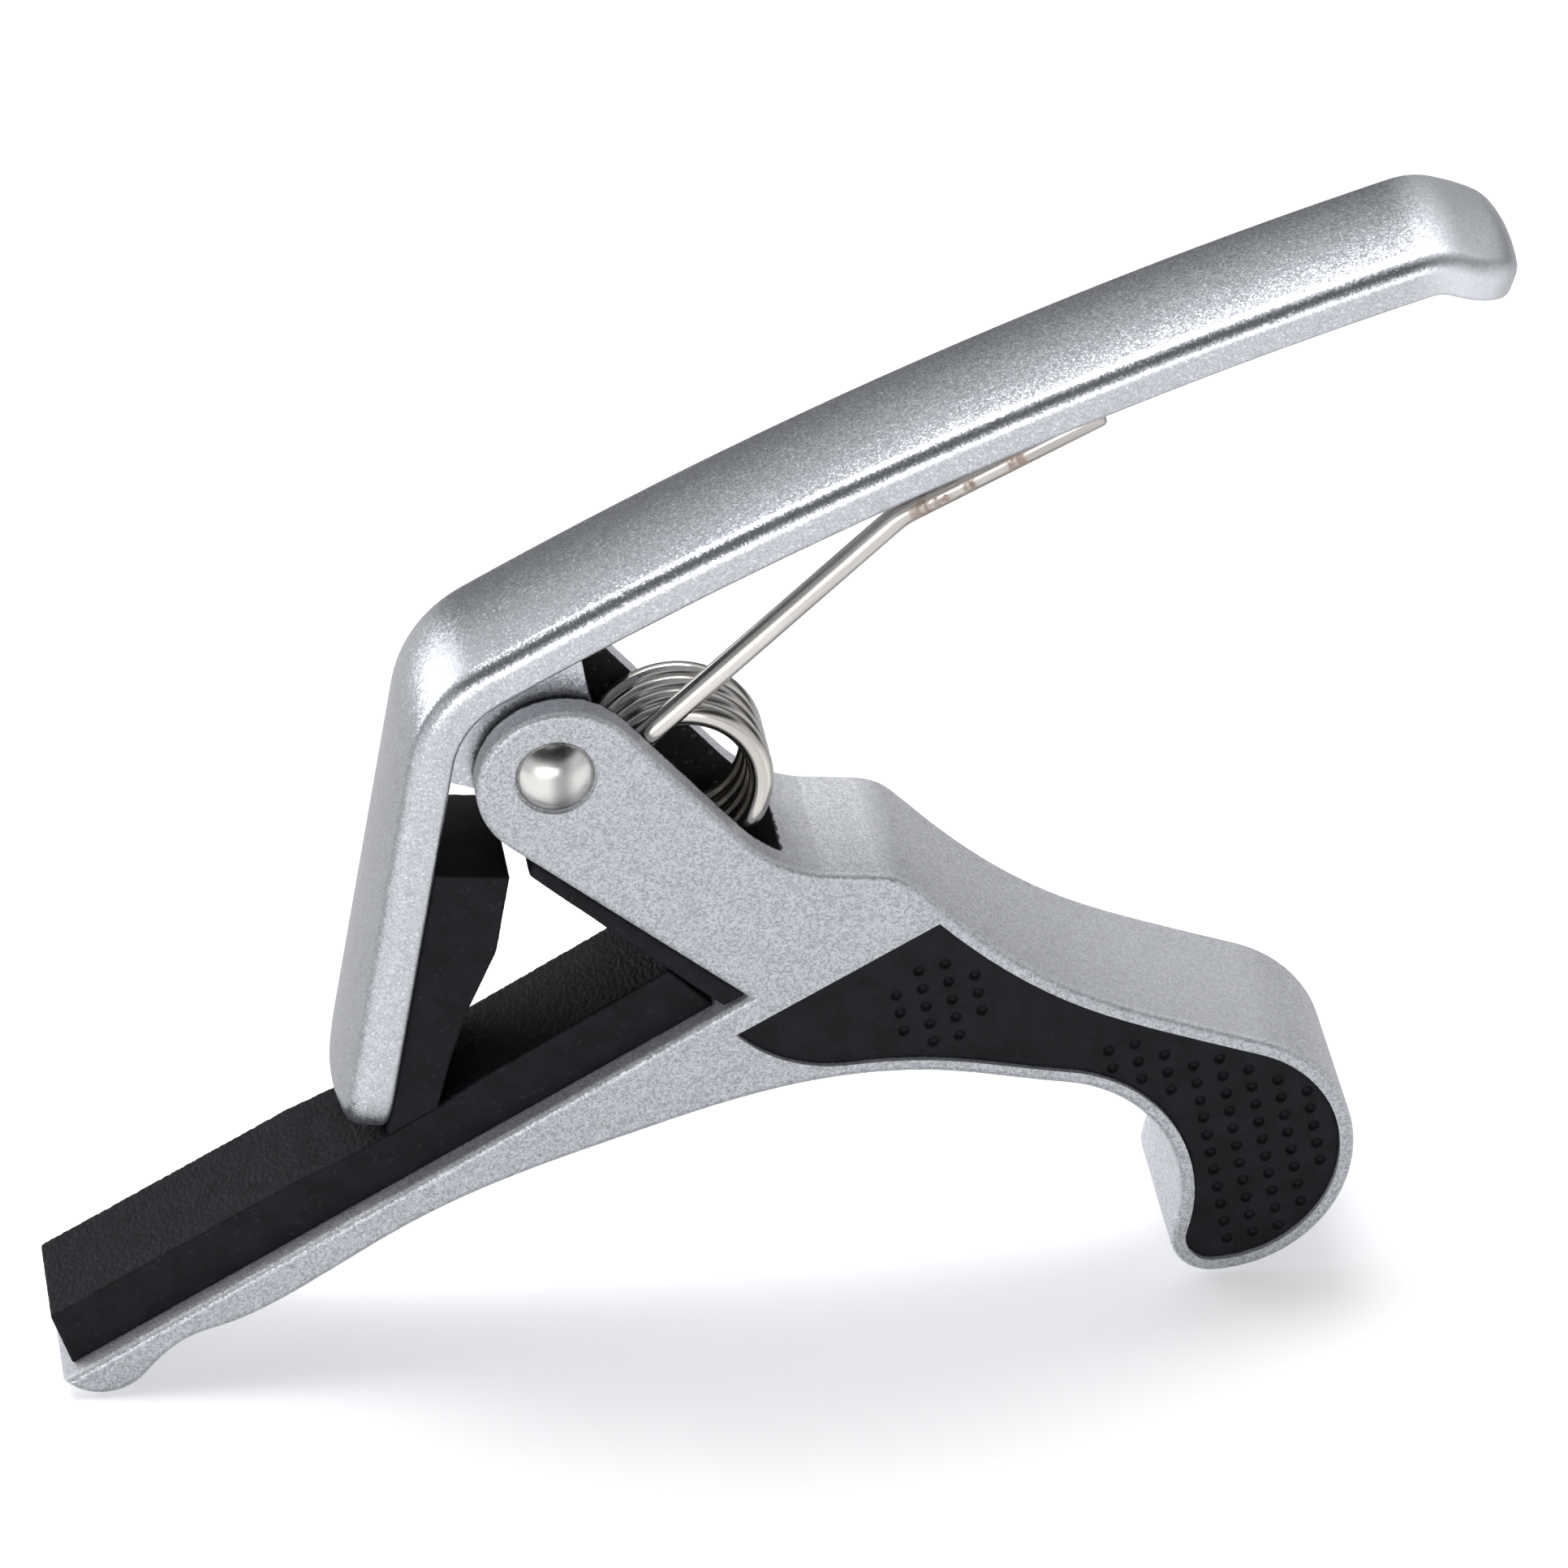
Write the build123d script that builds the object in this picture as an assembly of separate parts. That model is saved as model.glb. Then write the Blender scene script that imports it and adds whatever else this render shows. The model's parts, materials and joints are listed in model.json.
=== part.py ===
from build123d import *
import math
import os

# Guitar capo of the spring-clamp kind, in millimetres.
#
# The capo stands on its string bar's tip and on its handle's hook. Z is up, X runs from the bar's
# tip towards the handles, and Y runs along the pivot. Everything is drawn in a side plane with the
# pivot at (0, 0), and place() moves the finished pieces so that the origin is under the middle of
# the whole capo, on the surface it stands on.

# ---- driving dimensions ---------------------------------------------------------------------
FRAME_WIDTH = 16.0          # along the pivot
FRAME_EDGE = 0.6            # rounding of the casting's long edges
LEVER_WIDTH = 15.0
LEVER_EDGE_THICKNESS = 3.4  # lever thickness beside its rounded edges
LEVER_CROWN = 0.8           # how much higher the middle of the lever stands
LEVER_OUTER_ROUND = 1.7
LEVER_INNER_ROUND = 0.6
BAR_LENGTH = 65.0
BAR_ANGLE = 27.3            # slope of the string bar above the ground, degrees
CORNER = (14.6, -22.7)      # inner corner between the string bar and the fork
LUG_CENTRE = (0.5, -1.0)
LUG_RADIUS = 6.9
LUG_THICKNESS = 2.5
PIN_RADIUS = 2.0
BORE_CLEARANCE = 0.05       # radial, in the lever's boss
WASHER_THICKNESS = 0.5
WASHER_CLEARANCE = 0.1      # around the rivet's shank
SIDE_CLEARANCE = 0.05       # between each sliding side face and its neighbour
WIRE_DIAMETER = 2.0
COIL_RADIUS = 6.2           # to the middle of the wire
COIL_CENTRE = (10.75, -4.6)
GLUE_GAP = 0.04             # behind every rubber piece
RUBBER_BAR_THICKNESS = 5.0
DENT_DEPTH = 0.6            # in the string pad, under the closed jaw
CLOSED_GAP = 0.08           # between the closed jaw and the string pad
STAND_X = -17.55            # pivot's place from the middle of the capo's length
STAND_Y = 0.65              # half of what the rivet's dome stands out in front of the frame
STAND_Z = 54.1              # height of the pivot above the surface the capo stands on

SLOT_WIDTH = FRAME_WIDTH - 2 * LUG_THICKNESS
BOSS_WIDTH = SLOT_WIDTH - 2 * WASHER_THICKNESS - 4 * SIDE_CLEARANCE


# ---- plane geometry -------------------------------------------------------------------------
def heading(degrees):
    """Unit vector in the side plane."""
    return Vector(math.cos(math.radians(degrees)), math.sin(math.radians(degrees)))


def on_circle(centre, radius, degrees):
    return Vector(*centre) + heading(degrees) * radius


def side_plane(y=0.0):
    """Sketch plane of the side view: sketch x is X and sketch y is Z."""
    return Plane(origin=(0, y, 0), x_dir=(1, 0, 0), z_dir=(0, -1, 0))


def slab(face, near, far):
    """A side-view face as a solid between two places along the pivot."""
    return extrude(side_plane(far) * face, amount=far - near)


def plate(points, near, far):
    return slab(make_face(Polyline(*points, close=True)), near, far)


def rod(centre, radius, near, far):
    return slab(Pos(*centre) * Circle(radius), near, far)


def place(shape):
    return Pos(STAND_X, STAND_Y, STAND_Z) * shape


BAR = heading(BAR_ANGLE)
BAR_NORMAL = heading(BAR_ANGLE + 90)


def bar_point(back, up):
    """A place on the string bar: back from the inner corner towards the tip, and up from its face."""
    return Vector(*CORNER) - BAR * back + BAR_NORMAL * up


LUG_TO_CORNER = Vector(*CORNER) - Vector(*LUG_CENTRE)
ARM_ANGLE = math.degrees(
    math.atan2(LUG_TO_CORNER.Y, LUG_TO_CORNER.X) + math.asin(LUG_RADIUS / LUG_TO_CORNER.length)
)
ARM = heading(ARM_ANGLE)
ARM_NORMAL = heading(ARM_ANGLE + 90)


def arm_point(along, up):
    """A place on the fork arm: along it from the lug towards the corner, and up from the lug's middle."""
    return Vector(*LUG_CENTRE) + ARM * along + ARM_NORMAL * up


# ---- frame ----------------------------------------------------------------------------------
ARM_TOP_ANGLE = -51.4
ARM_TOP_LENGTH = 14.0
SADDLE = ((21.0, -11.7), (25.7, -12.4))     # flat stretch over the fork's end
HOOK_CENTRE = (52.45, -42.75)
HOOK_RADIUS = 11.35
LIP_CENTRE = (51.95, -50.5)
PALM_CENTRE = (37.7, -45.45)                # hollow inside the hook
HOOK_START = 68.0
PALM_END = 78.0


def frame_outline():
    """Side view of the lower casting: bar, fork arm, lug, saddle, handle and hook in one loop."""
    tip = bar_point(BAR_LENGTH, 0)
    lug_low = on_circle(LUG_CENTRE, LUG_RADIUS, ARM_ANGLE - 90)
    lug_arc = CenterArc(LUG_CENTRE, LUG_RADIUS, ARM_ANGLE - 90, ARM_TOP_ANGLE + 180 - ARM_ANGLE - 360)
    arm_top = Line(lug_arc @ 1, (lug_arc @ 1) + heading(ARM_TOP_ANGLE) * ARM_TOP_LENGTH)
    dip = TangentArc(arm_top @ 1, SADDLE[0], tangent=arm_top % 1)
    saddle = Line(*SADDLE)
    shoulder = TangentArc(SADDLE[1], (28.7, -14.0), tangent=saddle % 1)

    hook_to_lip = Vector(*LIP_CENTRE) - Vector(*HOOK_CENTRE)
    hook_end = math.degrees(math.atan2(hook_to_lip.Y, hook_to_lip.X))
    lip_radius = HOOK_RADIUS - hook_to_lip.length
    palm_to_lip = Vector(*LIP_CENTRE) - Vector(*PALM_CENTRE)
    palm_start = math.degrees(math.atan2(palm_to_lip.Y, palm_to_lip.X))
    palm_radius = palm_to_lip.length - lip_radius
    hook = CenterArc(HOOK_CENTRE, HOOK_RADIUS, HOOK_START, hook_end - HOOK_START)
    lip = CenterArc(LIP_CENTRE, lip_radius, hook_end, palm_start - 180 - hook_end)
    palm = CenterArc(PALM_CENTRE, palm_radius, palm_start, PALM_END - palm_start)

    back = Spline(
        shoulder @ 1, (33.4, -19.0), (42.4, -25.9), (49.1, -29.1), hook @ 0,
        tangents=[shoulder % 1, hook % 0],
    )
    nose = ThreePointArc((-36.4, -52.6), (-40.1, -54.1), tip)
    belly = Spline(
        palm @ 1, (29.7, -31.7), (19.2, -31.4), (3.5, -34.8), (-14.0, -40.9), (-29.5, -48.7), nose @ 0,
        tangents=[palm % 1, nose % 0],
    )
    return make_face(
        [
            Line(tip, CORNER), Line(CORNER, lug_low), lug_arc, arm_top, dip, saddle, shoulder,
            back, hook, lip, palm, belly, nose,
        ]
    )


SLOT_FLOOR = -3.3           # from the lug's middle, across the arm
SLOT_OPEN_TO = 5.5          # along the arm, where the slot gets its floor
SLOT_END = 19.3
HEAD_RADIUS = 3.2
FRONT_RECESS = 0.4
REAR_RECESS = 1.2
RECESS_CLEARANCE = 0.15     # around each rivet head
SHANK_CLEARANCE = 0.025      # around the rivet's shank in the lugs


def slot_cutter():
    """The fork: open right through around the pivot, with a floor under the spring."""
    reach = 2 * LUG_RADIUS
    corners = [
        arm_point(-reach, -reach), arm_point(SLOT_OPEN_TO, -reach), arm_point(SLOT_OPEN_TO, SLOT_FLOOR),
        arm_point(SLOT_END, SLOT_FLOOR), arm_point(SLOT_END, reach), arm_point(-reach, reach),
    ]
    return plate(corners, -SLOT_WIDTH / 2, SLOT_WIDTH / 2)


def frame():
    half = FRAME_WIDTH / 2
    body = slab(frame_outline(), -half, half)
    rims = [e for e in body.edges() if abs(abs(e.center().Y) - half) < 1e-3]
    body = fillet(rims, FRAME_EDGE)
    body -= slot_cutter()
    body -= rod((0, 0), PIN_RADIUS + SHANK_CLEARANCE, -half - 1, half + 1)
    for side, recess in ((-1, FRONT_RECESS), (1, REAR_RECESS)):
        face_y = side * half
        near, far = sorted((face_y - side * recess, face_y + side))
        body -= rod((0, 0), HEAD_RADIUS + RECESS_CLEARANCE, near, far)
        near, far = sorted((face_y - side * INLAY_POCKET, face_y + side))
        body -= slab(inlay_outline(0), near, far)
    return body


# ---- grip inlays ----------------------------------------------------------------------------
INLAY_RIM = 1.2             # width of bare metal around the inlay
INLAY_POCKET = 1.6
INLAY_THICKNESS = 1.2
INLAY_TIP = (13.3, -26.0)
INLAY_PEAK = (30.6, -17.3)
INLAY_FOOT = (21.9, -30.0)  # where its cut-off lower corner meets the rim
INLAY_CUT = (17.4, -29.0)
BELOW_GROUND = -60.0        # lower than any part of the handle, for cutting shapes
FAR_RIGHT = 90.0            # further right than any part of the handle
DIMPLE_RADIUS = 0.46
DIMPLE_DEPTH = 0.30
DIMPLE_COLUMN_STEP = Vector(2.15, 0.38)
DIMPLE_ROW_STEP = Vector(0.24, -1.725)
# each group: place of column 0, row 0, then (first row, number of dimples) of each column
DIMPLE_GROUPS = (
    ((26.3, -22.35), ((1, 3), (0, 5), (0, 5), (1, 3))),
    ((43.75, -31.6), ((0, 2), (0, 3), (1, 3), (2, 11), (2, 11), (3, 10), (4, 8), (5, 5))),
)


def inlay_outline(gap):
    """The handle's outline drawn in by the metal rim, cut off by a straight line at the fork."""
    tip, peak = Vector(*INLAY_TIP), Vector(*INLAY_PEAK)
    slope = (peak - tip).normalized()
    inward = Vector(slope.Y, -slope.X)
    left = tip - slope * HOOK_RADIUS - inward * 3 * INLAY_RIM
    low_right = (FAR_RIGHT, BELOW_GROUND)
    handle = make_face(
        Polyline(left, left + slope * FAR_RIGHT, low_right, (left.X, BELOW_GROUND), close=True)
    )
    inner = offset(frame_outline() & handle, -(INLAY_RIM + gap))
    start = tip + slope * gap * 2 + inward * gap
    top_right = start + slope * FAR_RIGHT
    foot = (INLAY_FOOT[0], INLAY_FOOT[1] + gap)
    under_foot = (INLAY_FOOT[0], BELOW_GROUND)
    keep = make_face(
        [
            Line(start, top_right), Line(top_right, low_right), Line(low_right, under_foot),
            Line(under_foot, foot), Spline(foot, (INLAY_CUT[0], INLAY_CUT[1] + gap), start),
        ]
    )
    outline = max((inner & keep).faces(), key=lambda f: f.area)
    return make_face([plain_curve(edge) for edge in outline.edges()])


def plain_curve(edge):
    """The same curve as a plain spline where it was drawn as an offset of another curve."""
    if edge.geom_type != GeomType.OFFSET:
        return edge
    places = (0, 0.25, 0.5, 0.75, 1)
    return Spline(*[edge @ t for t in places], tangents=[edge % 0, edge % 1])


def dimple_centres():
    for corner, columns in DIMPLE_GROUPS:
        for column, (first, count) in enumerate(columns):
            for row in range(first, first + count):
                yield Vector(*corner) + DIMPLE_COLUMN_STEP * column + DIMPLE_ROW_STEP * row


def grip_inlay(side):
    """Rubber inlay with pressed dimples. side is -1 for the front face and 1 for the rear."""
    skin = side * (FRAME_WIDTH / 2 - INLAY_POCKET + GLUE_GAP + INLAY_THICKNESS)
    root = side * (FRAME_WIDTH / 2 - INLAY_POCKET + GLUE_GAP)
    near, far = sorted((skin, root))
    inlay = slab(inlay_outline(GLUE_GAP), near, far)
    ball = (DIMPLE_RADIUS**2 + DIMPLE_DEPTH**2) / (2 * DIMPLE_DEPTH)
    lift = skin + side * (ball - DIMPLE_DEPTH)
    balls = [Pos(c.X, lift, c.Y) * Sphere(ball) for c in dimple_centres()]
    return inlay - balls


# ---- rubber on the frame --------------------------------------------------------------------
STRING_PAD_SIDES = (-6.1, 5.6)
STRING_PAD_ENDS = (3.1, 64.0)
STRING_PAD_DENT = (27.0, 34.5)      # along the bar
STRING_PAD_SLANTS = (1.4, 0.9)      # how far the top stops short of the foot at each end
DENT_SLOPE = 5.0
PAD_FRONT_ROUND = 0.3
PAD_REAR_ROUND = 1.4
EDGE_PAD_WIDTH = 15.2
EDGE_PAD_START = (2.6, 3.0)         # along the arm, at its foot and at its top
EDGE_PAD_END = (0.3, 1.1)           # short of the corner, at its foot and at its top
EDGE_PAD_THICKNESS = (1.2, 1.9)     # at its start and at its end


def string_pad():
    """Rubber bar the strings press on, dented where the closed jaw rests."""
    near_end, far_end = STRING_PAD_ENDS
    near_slant, far_slant = STRING_PAD_SLANTS
    dent_near, dent_far = STRING_PAD_DENT
    top = RUBBER_BAR_THICKNESS
    sag = top - DENT_DEPTH / 3
    corners = [
        bar_point(near_end, GLUE_GAP), bar_point(far_end, GLUE_GAP),
        bar_point(far_end - far_slant, top), bar_point(dent_far + DENT_SLOPE, sag),
        bar_point(dent_far, top - DENT_DEPTH), bar_point(dent_near, top - DENT_DEPTH),
        bar_point(dent_near - DENT_SLOPE, sag), bar_point(near_end + near_slant, top),
    ]
    near, far = STRING_PAD_SIDES
    bar = plate(corners, near, far)
    base = bar_point(0, (top - DENT_DEPTH) / 2)

    def along_top(edge, y):
        middle = edge.center()
        up = (Vector(middle.X, middle.Z) - base).dot(BAR_NORMAL)
        return abs(middle.Y - y) < 1e-3 and up > top / 4

    bar = fillet([e for e in bar.edges() if along_top(e, near)], PAD_FRONT_ROUND)
    return fillet([e for e in bar.edges() if along_top(e, far)], PAD_REAR_ROUND)


def edge_pad():
    """Strip under the fork arm, thicker towards the corner."""
    face = -LUG_RADIUS - GLUE_GAP
    end = LUG_TO_CORNER.dot(ARM)
    corners = [
        arm_point(EDGE_PAD_START[0], face),
        arm_point(end - EDGE_PAD_END[0], face),
        arm_point(end - EDGE_PAD_END[1], face - EDGE_PAD_THICKNESS[1]),
        arm_point(EDGE_PAD_START[1], face - EDGE_PAD_THICKNESS[0]),
    ]
    return plate(corners, -EDGE_PAD_WIDTH / 2, EDGE_PAD_WIDTH / 2)


# ---- pivot ----------------------------------------------------------------------------------
HEAD_DOME = 1.7
TAIL_DOME = 1.0
SEAT_GAP = 0.02             # under each head
WASHER_RADIUS = 4.0


def pivot_rivet():
    """Shank with a high dome in front and a lower formed dome, sunk in the frame, behind."""
    half = FRAME_WIDTH / 2
    rivet = rod((0, 0), PIN_RADIUS, -half + FRONT_RECESS, half - REAR_RECESS)
    for side, dome, recess in ((-1, HEAD_DOME, FRONT_RECESS), (1, TAIL_DOME, REAR_RECESS)):
        seat = half - recess
        ball = (HEAD_RADIUS**2 + dome**2) / (2 * dome)
        cap = Pos(0, side * (seat + dome - ball), 0) * Sphere(ball)
        keep = sorted((side * (seat + SEAT_GAP), side * (seat + dome + 1)))
        rivet += cap & rod((0, 0), HEAD_RADIUS, *keep)
        rivet += rod((0, 0), PIN_RADIUS, *sorted((side * (seat - 1), side * (seat + dome / 2))))
    return rivet


def pivot_washers():
    """Two thin plastic washers between the lugs and the lever's boss."""
    inner = SLOT_WIDTH / 2 - SIDE_CLEARANCE - WASHER_THICKNESS
    rings = []
    for side in (-1, 1):
        near, far = sorted((side * inner, side * (inner + WASHER_THICKNESS)))
        ring = rod((0, 0), WASHER_RADIUS, near, far)
        rings.append(ring - rod((0, 0), PIN_RADIUS + WASHER_CLEARANCE, near - 1, far + 1))
    return Compound(children=rings)


# ---- lever ----------------------------------------------------------------------------------
JAW_ANGLE = 257.9           # direction of the jaw from the elbow, degrees
ELBOW_CENTRE = (-0.45, -0.1)
ELBOW_RADIUS = 7.7
JAW_END = -33.6             # height of the jaw's inner end
HANDLE_START = 26.7         # slope where the handle leaves the elbow, degrees
HANDLE_END = (71.2, 35.0)
TIP_BEND_RADIUS = 2.6
TIP_BEND = 35.0             # how far the tip is turned down, degrees
TIP_LENGTH = 5.8
BOSS_RADIUS = 4.2
END_CORNER_ROUND = 5.0      # both wide corners of each end
JAW_END_ROUNDS = (2.6, 0.8) # outer and inner edge of the jaw's end
TIP_END_ROUNDS = (2.8, 0.9) # outer and inner edge of the handle's tip
WEB_START = 2.6             # where the web leaves the jaw, below the elbow
WEB_ANGLES = (125, 150)     # where the web leaves the elbow, degrees
WEB_FRONT = ((3.3, 5.0), (2.7, 10.4))       # its edge between the boss and the handle


def lever_path():
    """The lever's inner side, from the jaw's end round the elbow and out to the turned-down tip."""
    jaw = heading(JAW_ANGLE)
    elbow_low = on_circle(ELBOW_CENTRE, ELBOW_RADIUS, JAW_ANGLE - 90)
    jaw_tip = elbow_low + jaw * ((JAW_END - elbow_low.Y) / jaw.Y)
    turn = HANDLE_START + 90 - (JAW_ANGLE - 90)
    elbow = CenterArc(ELBOW_CENTRE, ELBOW_RADIUS, JAW_ANGLE - 90, turn)
    handle = TangentArc(elbow @ 1, HANDLE_END, tangent=elbow % 1)
    leaving = handle % 1
    slope = math.degrees(math.atan2(leaving.Y, leaving.X))
    centre = (handle @ 1) - heading(slope + 90) * TIP_BEND_RADIUS
    bend = CenterArc((centre.X, centre.Y), TIP_BEND_RADIUS, slope + 90, -TIP_BEND)
    tip = Line(bend @ 1, (bend @ 1) + heading(slope - TIP_BEND) * TIP_LENGTH)
    return Wire([Line(jaw_tip, elbow_low), elbow, handle, bend, tip])


def lever_section():
    """Flat inside, crowned outside, rounded at its four corners."""
    half = LEVER_WIDTH / 2
    outline = make_face(
        [
            Line((-half, 0), (half, 0)),
            Line((half, 0), (half, LEVER_EDGE_THICKNESS)),
            ThreePointArc(
                (half, LEVER_EDGE_THICKNESS),
                (0, LEVER_EDGE_THICKNESS + LEVER_CROWN),
                (-half, LEVER_EDGE_THICKNESS),
            ),
            Line((-half, LEVER_EDGE_THICKNESS), (-half, 0)),
        ]
    )
    corners = outline.vertices()
    outer = [v for v in corners if v.Y > LEVER_EDGE_THICKNESS / 2]
    outline = fillet(outer, LEVER_OUTER_ROUND)
    inner = [v for v in outline.vertices() if v.Y < 1e-6]
    return fillet(inner, LEVER_INNER_ROUND)


def corner_cutter(corner, along_a, along_b, radius, length):
    """What is cut away to round a corner between two directions, over a length both ways."""
    face = make_face(
        [
            Line((-1, -1), (radius, -1)), Line((radius, -1), (radius, 0)),
            TangentArc((radius, 0), (0, radius), tangent=(-1, 0)),
            Line((0, radius), (-1, radius)), Line((-1, radius), (-1, -1)),
        ]
    )
    axis = along_a.cross(along_b).normalized()
    return extrude(Plane(origin=corner, x_dir=along_a, z_dir=axis) * face, amount=length, both=True)


def in_space(flat):
    """A side-view vector as a vector in space."""
    return Vector(flat.X, 0, flat.Y)


def rounded_end(solid, end, outward, side, rounds):
    """Rounds one end of the lever: its two wide corners and its outer and inner edge."""
    outer_round, inner_round = rounds
    thick = LEVER_EDGE_THICKNESS + LEVER_CROWN
    back = -outward
    for y in (-1, 1):
        corner = in_space(end) + Vector(0, y * LEVER_WIDTH / 2, 0)
        solid -= corner_cutter(corner, in_space(back), Vector(0, -y, 0), END_CORNER_ROUND, 3 * thick)
    outer = in_space(end + side * thick)
    solid -= corner_cutter(outer, in_space(back), in_space(-side), outer_round, LEVER_WIDTH)
    solid -= corner_cutter(in_space(end), in_space(back), in_space(side), inner_round, LEVER_WIDTH)
    return solid


def under_string_pad_face():
    """Everything below the string pad's face, which ends the jaw and its pad when closed."""
    up = RUBBER_BAR_THICKNESS - DENT_DEPTH + CLOSED_GAP
    corners = [bar_point(-20, up), bar_point(60, up), bar_point(60, -20), bar_point(-20, -20)]
    return plate(corners, -LEVER_WIDTH, LEVER_WIDTH)


def lever():
    path = lever_path()
    start = path @ 0
    outward = path % 0
    section_plane = Plane(
        origin=(start.X, 0, start.Y), x_dir=(0, 1, 0), z_dir=(outward.X, 0, outward.Y)
    )
    rail = side_plane() * path
    body = sweep(section_plane * lever_section(), path=rail)
    body = rounded_end(body, start, -outward, heading(JAW_ANGLE - 90), JAW_END_ROUNDS)
    tip_out = path % 1
    tip_side = Vector(-tip_out.Y, tip_out.X)
    body = rounded_end(body, path @ 1, tip_out, tip_side, TIP_END_ROUNDS)
    half = BOSS_WIDTH / 2
    root = ELBOW_RADIUS + LEVER_INNER_ROUND
    web = [on_circle(ELBOW_CENTRE, root, JAW_ANGLE - 90) + heading(JAW_ANGLE) * WEB_START]
    web += [on_circle((0, 0), BOSS_RADIUS, angle) for angle in (250, 335, 10)]
    web += [Vector(*point) for point in WEB_FRONT]
    web += [on_circle(ELBOW_CENTRE, root, angle) for angle in WEB_ANGLES]
    body += plate(web, -half, half)
    body += rod((0, 0), BOSS_RADIUS, -half, half)
    body -= rod((0, 0), PIN_RADIUS + BORE_CLEARANCE, -half - 1, half + 1)
    return body - under_string_pad_face()


# ---- jaw pad --------------------------------------------------------------------------------
JAW_PAD_WIDTH = 13.0
JAW_PAD_FACETS = (          # below the elbow along the jaw, and out from the jaw
    (10.5, 0.0), (10.1, 6.2), (17.35, 6.2), (23.1, 4.75), (27.9, 4.1), (40.0, 3.2), (40.0, 0.0),
)


def jaw_pad():
    """Faceted rubber block on the inside of the jaw, cut off square with the string pad."""
    elbow_low = on_circle(ELBOW_CENTRE, ELBOW_RADIUS, JAW_ANGLE - 90)
    jaw = heading(JAW_ANGLE)
    inward = heading(JAW_ANGLE + 90)

    def jaw_point(down, off):
        return elbow_low + jaw * down + inward * (off + GLUE_GAP)

    half = JAW_PAD_WIDTH / 2
    block = plate([jaw_point(down, off) for down, off in JAW_PAD_FACETS], -half, half)
    return block - under_string_pad_face()


# ---- spring ---------------------------------------------------------------------------------
LEG_ANGLE = 40.2            # direction of the upper leg from the coil, degrees
LEG_BEND = 29.0             # length of the leg before its bend
LEG_END_ANGLE = 24.1
LEG_END_LENGTH = 18.0
LEG_BEND_RADIUS = 6.0
END_TURN = 150.0            # part of a turn that swings with the upper leg, degrees
END_TURN_GAP = 1.0          # between the swinging part of the end turn and the rest, degrees
TURN_PITCH = WIRE_DIAMETER + 0.085
LOWER_LEG_LENGTH = 8.3
COIL_TURNS = 4 + (ARM_ANGLE - LEG_ANGLE + 180) / 360     # ends along the slot's floor
COIL_NEAR = -COIL_TURNS * TURN_PITCH / 2


def wire_solid(*curves):
    """The spring's wire along curves that meet end to end."""
    path = Wire([edge for curve in curves for edge in curve.edges()])
    section = Plane(origin=path @ 0, z_dir=path % 0) * Circle(WIRE_DIAMETER / 2)
    return sweep(section, path=path, is_frenet=True)


def coil_wire(turn_from, turn_to):
    """A stretch of the helix. It turns anticlockwise seen from the front and runs backwards."""
    first = LEG_ANGLE + 90 + turn_from
    height = TURN_PITCH * (turn_to - turn_from) / 360
    helix = Helix(pitch=TURN_PITCH, height=height, radius=COIL_RADIUS, lefthand=True)
    upright = Plane(origin=(0, 0, 0), x_dir=(1, 0, 0), z_dir=(0, 1, 0))
    near = COIL_NEAR + TURN_PITCH * turn_from / 360
    return Pos(COIL_CENTRE[0], near, COIL_CENTRE[1]) * Rot(0, -first, 0) * (upright * helix)


def spring_coil():
    """The coil behind the end turn, and the lower leg that lies on the slot's floor."""
    helix = coil_wire(END_TURN + END_TURN_GAP, COIL_TURNS * 360)
    leaving = helix % 1
    along = Vector(leaving.X, 0, leaving.Z).normalized()
    return wire_solid(helix, Line(helix @ 1, (helix @ 1) + along * LOWER_LEG_LENGTH))


def spring_upper_leg():
    """The upper leg with its bend, and the part of the end turn that swings with it."""
    turn = coil_wire(0, END_TURN)
    start = turn @ 0
    bend = start + in_space(heading(LEG_ANGLE)) * LEG_BEND
    end = bend + in_space(heading(LEG_END_ANGLE)) * LEG_END_LENGTH
    return wire_solid(FilletPolyline(end, bend, start, radius=LEG_BEND_RADIUS), turn)


# ---- all pieces -----------------------------------------------------------------------------
PIECES = {
    "frame": frame,
    "string_pad": string_pad,
    "edge_pad": edge_pad,
    "front_grip_inlay": lambda: grip_inlay(-1),
    "rear_grip_inlay": lambda: grip_inlay(1),
    "pivot_rivet": pivot_rivet,
    "pivot_washers": pivot_washers,
    "lever": lever,
    "jaw_pad": jaw_pad,
    "spring_coil": spring_coil,
    "spring_upper_leg": spring_upper_leg,
}

os.makedirs("parts", exist_ok=True)
for name, build in PIECES.items():
    export_step(place(build()), f"parts/{name}.step")
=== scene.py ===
import json
import math

import bmesh
import bpy
import numpy as np
from mathutils import Matrix, Vector, noise
from mathutils.geometry import tessellate_polygon
from mathutils.kdtree import KDTree

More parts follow.
